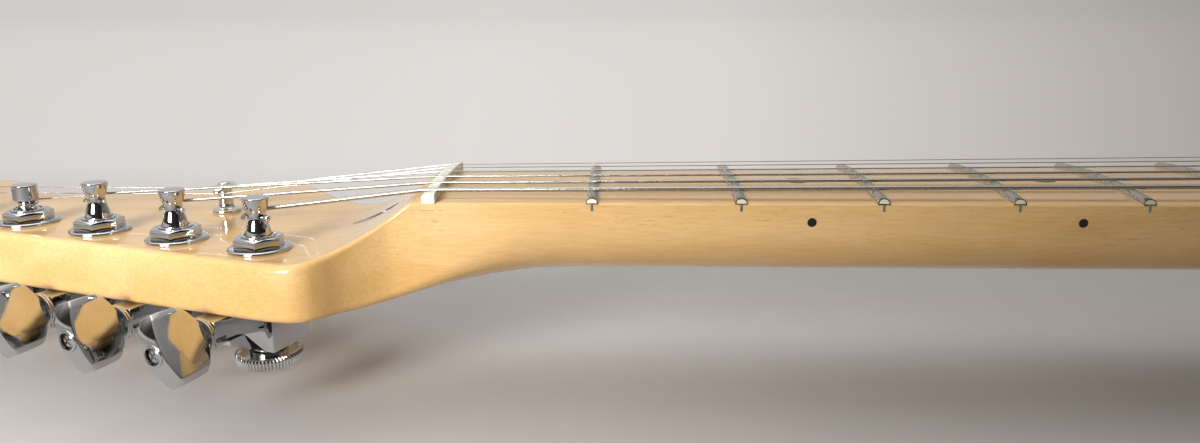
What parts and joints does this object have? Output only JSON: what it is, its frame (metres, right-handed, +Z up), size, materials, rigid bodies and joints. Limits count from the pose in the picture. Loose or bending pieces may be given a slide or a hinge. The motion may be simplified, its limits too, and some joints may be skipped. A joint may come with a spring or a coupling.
{
  "type": "electric guitar neck",
  "caption": "One-piece maple bolt-on electric guitar neck with frets, a nut, locking tuners in line, a string tree, a truss rod and strings.",
  "frame": {"origin": "centre of the heel's four-screw pattern, on the heel's flat underside", "axes": "+X runs from the head to the heel, +Y points to the treble side, +Z points up out of the fretboard"},
  "size_m": [0.6766, 0.1135, 0.0451],
  "materials": {
    "lacquered_maple": "honey-tinted gloss lacquer over flat-sawn maple",
    "walnut": "dark walnut under the same gloss lacquer",
    "bone": "polished greenish-white bone",
    "rod_steel": "plain drawn steel",
    "nickel_silver": "polished nickel, a little tarnished",
    "tuner_chrome": "bright chrome plate",
    "cast_chrome": "chrome plate over die-cast zinc, soft edges",
    "shaft_steel": "turned steel, plated collar",
    "screw_steel": "plated steel",
    "wheel_nickel": "satin nickel, knurled rim",
    "wound_nickel": "nickel wound over a steel core",
    "black_inlay": "black dots under the lacquer",
    "plain_steel": "tinned plain steel wire"
  },
  "bodies": {
    "neck": {"neck": "lacquered_maple", "nut": "bone", "truss_rod": "rod_steel", "truss_rod_plug": "walnut", "skunk_stripe": "walnut", "string_tree": "nickel_silver", "tuner_1_washer": "tuner_chrome", "tuner_1_bushing": "tuner_chrome", "tuner_1_housing": "cast_chrome", "string_1": "wound_nickel", "tuner_2_washer": "tuner_chrome", "tuner_2_bushing": "tuner_chrome", "tuner_2_housing": "cast_chrome", "string_2": "wound_nickel", "tuner_3_washer": "tuner_chrome", "tuner_3_bushing": "tuner_chrome", "tuner_3_housing": "cast_chrome", "string_3": "wound_nickel", "tuner_4_washer": "tuner_chrome", "tuner_4_bushing": "tuner_chrome", "tuner_4_housing": "cast_chrome", "string_4": "plain_steel", "tuner_5_washer": "tuner_chrome", "tuner_5_bushing": "tuner_chrome", "tuner_5_housing": "cast_chrome", "string_5": "plain_steel", "tuner_6_washer": "tuner_chrome", "tuner_6_bushing": "tuner_chrome", "tuner_6_housing": "cast_chrome", "string_6": "plain_steel"},
    "knob_1": {"tuner_1_worm_shaft": "shaft_steel", "tuner_1_button": "cast_chrome", "tuner_1_button_screw": "screw_steel"},
    "post_1": {"tuner_1_post": "tuner_chrome"},
    "lock_wheel_1": {"tuner_1_lock_wheel": "wheel_nickel"},
    "knob_2": {"tuner_2_worm_shaft": "shaft_steel", "tuner_2_button": "cast_chrome", "tuner_2_button_screw": "screw_steel"},
    "post_2": {"tuner_2_post": "tuner_chrome"},
    "lock_wheel_2": {"tuner_2_lock_wheel": "wheel_nickel"},
    "knob_3": {"tuner_3_worm_shaft": "shaft_steel", "tuner_3_button": "cast_chrome", "tuner_3_button_screw": "screw_steel"},
    "post_3": {"tuner_3_post": "tuner_chrome"},
    "lock_wheel_3": {"tuner_3_lock_wheel": "wheel_nickel"},
    "knob_4": {"tuner_4_worm_shaft": "shaft_steel", "tuner_4_button": "cast_chrome", "tuner_4_button_screw": "screw_steel"},
    "post_4": {"tuner_4_post": "tuner_chrome"},
    "lock_wheel_4": {"tuner_4_lock_wheel": "wheel_nickel"},
    "knob_5": {"tuner_5_worm_shaft": "shaft_steel", "tuner_5_button": "cast_chrome", "tuner_5_button_screw": "screw_steel"},
    "post_5": {"tuner_5_post": "tuner_chrome"},
    "lock_wheel_5": {"tuner_5_lock_wheel": "wheel_nickel"},
    "knob_6": {"tuner_6_worm_shaft": "shaft_steel", "tuner_6_button": "cast_chrome", "tuner_6_button_screw": "screw_steel"},
    "post_6": {"tuner_6_post": "tuner_chrome"},
    "lock_wheel_6": {"tuner_6_lock_wheel": "wheel_nickel"}
  },
  "joints": [
    {"name": "knob_1_turn", "type": "hinge", "parent": "neck", "child": "knob_1", "pos_m": [-0.47543, -0.01979, -0.0032], "axis": [-0.3584, -0.9336, 0], "continuous": true},
    {"name": "post_1_turn", "type": "hinge", "parent": "neck", "child": "post_1", "pos_m": [-0.4702, -0.0218, 0.0138], "axis": [0, 0, 1], "continuous": true},
    {"name": "lock_wheel_1_turn", "type": "hinge", "parent": "post_1", "child": "lock_wheel_1", "pos_m": [-0.4702, -0.0218, -0.0124], "axis": [0, 0, 1], "range_deg": [-540, 0]},
    {"name": "knob_2_turn", "type": "hinge", "parent": "neck", "child": "knob_2", "pos_m": [-0.49914, -0.01069, -0.0032], "axis": [-0.3584, -0.9336, 0], "continuous": true},
    {"name": "post_2_turn", "type": "hinge", "parent": "neck", "child": "post_2", "pos_m": [-0.49391, -0.0127, 0.0138], "axis": [0, 0, 1], "continuous": true},
    {"name": "lock_wheel_2_turn", "type": "hinge", "parent": "post_2", "child": "lock_wheel_2", "pos_m": [-0.49391, -0.0127, -0.0124], "axis": [0, 0, 1], "range_deg": [-540, 0]},
    {"name": "knob_3_turn", "type": "hinge", "parent": "neck", "child": "knob_3", "pos_m": [-0.52285, -0.00159, -0.0032], "axis": [-0.3584, -0.9336, 0], "continuous": true},
    {"name": "post_3_turn", "type": "hinge", "parent": "neck", "child": "post_3", "pos_m": [-0.51763, -0.0036, 0.0138], "axis": [0, 0, 1], "continuous": true},
    {"name": "lock_wheel_3_turn", "type": "hinge", "parent": "post_3", "child": "lock_wheel_3", "pos_m": [-0.51763, -0.0036, -0.0124], "axis": [0, 0, 1], "range_deg": [-540, 0]},
    {"name": "knob_4_turn", "type": "hinge", "parent": "neck", "child": "knob_4", "pos_m": [-0.54657, 0.00751, -0.0032], "axis": [-0.3584, -0.9336, 0], "continuous": true},
    {"name": "post_4_turn", "type": "hinge", "parent": "neck", "child": "post_4", "pos_m": [-0.54134, 0.00551, 0.0138], "axis": [0, 0, 1], "continuous": true},
    {"name": "lock_wheel_4_turn", "type": "hinge", "parent": "post_4", "child": "lock_wheel_4", "pos_m": [-0.54134, 0.00551, -0.0124], "axis": [0, 0, 1], "range_deg": [-540, 0]},
    {"name": "knob_5_turn", "type": "hinge", "parent": "neck", "child": "knob_5", "pos_m": [-0.57028, 0.01662, -0.0032], "axis": [-0.3584, -0.9336, 0], "continuous": true},
    {"name": "post_5_turn", "type": "hinge", "parent": "neck", "child": "post_5", "pos_m": [-0.56505, 0.01461, 0.0138], "axis": [0, 0, 1], "continuous": true},
    {"name": "lock_wheel_5_turn", "type": "hinge", "parent": "post_5", "child": "lock_wheel_5", "pos_m": [-0.56505, 0.01461, -0.0124], "axis": [0, 0, 1], "range_deg": [-540, 0]},
    {"name": "knob_6_turn", "type": "hinge", "parent": "neck", "child": "knob_6", "pos_m": [-0.59399, 0.02572, -0.0032], "axis": [-0.3584, -0.9336, 0], "continuous": true},
    {"name": "post_6_turn", "type": "hinge", "parent": "neck", "child": "post_6", "pos_m": [-0.58877, 0.02371, 0.0138], "axis": [0, 0, 1], "continuous": true},
    {"name": "lock_wheel_6_turn", "type": "hinge", "parent": "post_6", "child": "lock_wheel_6", "pos_m": [-0.58877, 0.02371, -0.0124], "axis": [0, 0, 1], "range_deg": [-540, 0]}
  ],
  "couplings": [
    {"joint": "post_1_turn", "follows": "knob_1_turn", "ratio": 0.055556},
    {"joint": "post_2_turn", "follows": "knob_2_turn", "ratio": 0.055556},
    {"joint": "post_3_turn", "follows": "knob_3_turn", "ratio": 0.055556},
    {"joint": "post_4_turn", "follows": "knob_4_turn", "ratio": 0.055556},
    {"joint": "post_5_turn", "follows": "knob_5_turn", "ratio": 0.055556},
    {"joint": "post_6_turn", "follows": "knob_6_turn", "ratio": 0.055556}
  ]
}
